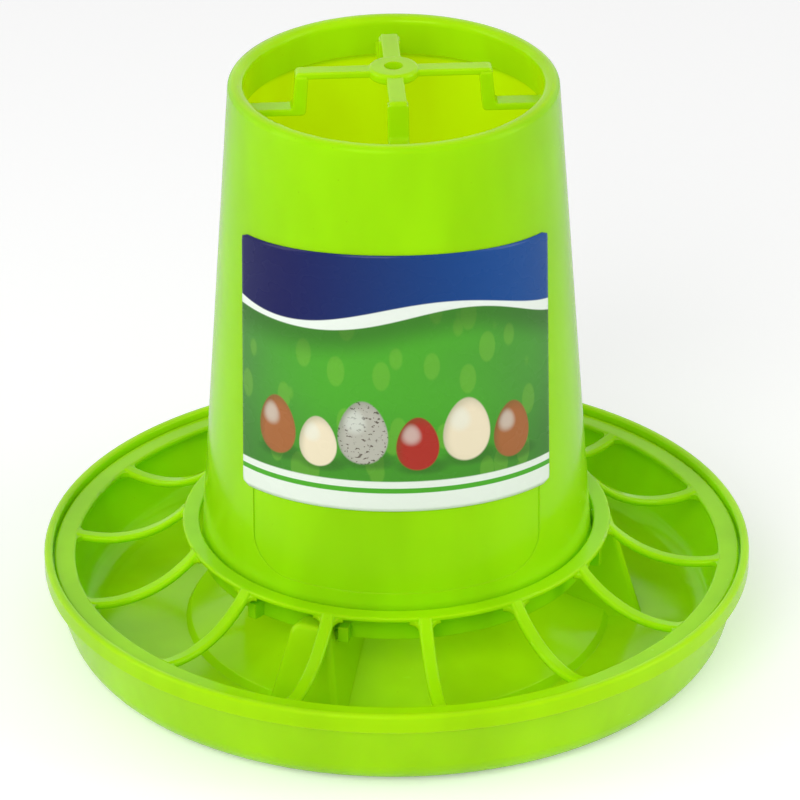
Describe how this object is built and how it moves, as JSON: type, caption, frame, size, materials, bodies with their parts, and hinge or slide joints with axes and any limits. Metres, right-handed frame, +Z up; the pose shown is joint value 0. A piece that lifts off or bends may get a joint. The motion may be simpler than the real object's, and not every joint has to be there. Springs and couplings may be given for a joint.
{
  "type": "poultry feeder",
  "caption": "Small green plastic poultry feeder: a tapered hopper with a hanger across its top twists onto a round feed pan with a scatter guard.",
  "frame": {"origin": "centre of the feed pan's base, on the surface it stands on", "axes": "+Z up along the hopper, the hanger hole and the twist axis; -Y is the front with the label; +X to the right of the label"},
  "size_m": [0.19, 0.19, 0.1646],
  "materials": {
    "hopper_plastic": "smooth translucent green polypropylene, gloss",
    "pan_plastic": "smooth translucent green polypropylene, gloss",
    "guard_plastic": "smooth translucent green polypropylene, gloss",
    "label_print": "printed paper label with a clear gloss film"
  },
  "bodies": {
    "pan": {"feed_pan": "pan_plastic", "scatter_guard": "guard_plastic"},
    "hopper": {"hopper": "hopper_plastic", "label": "label_print"}
  },
  "joints": [
    {"name": "hopper_twist", "type": "hinge", "parent": "pan", "child": "hopper", "pos_m": [0, 0, 0.0237], "axis": [0, 0, 1], "range_deg": [0, 12]}
  ]
}
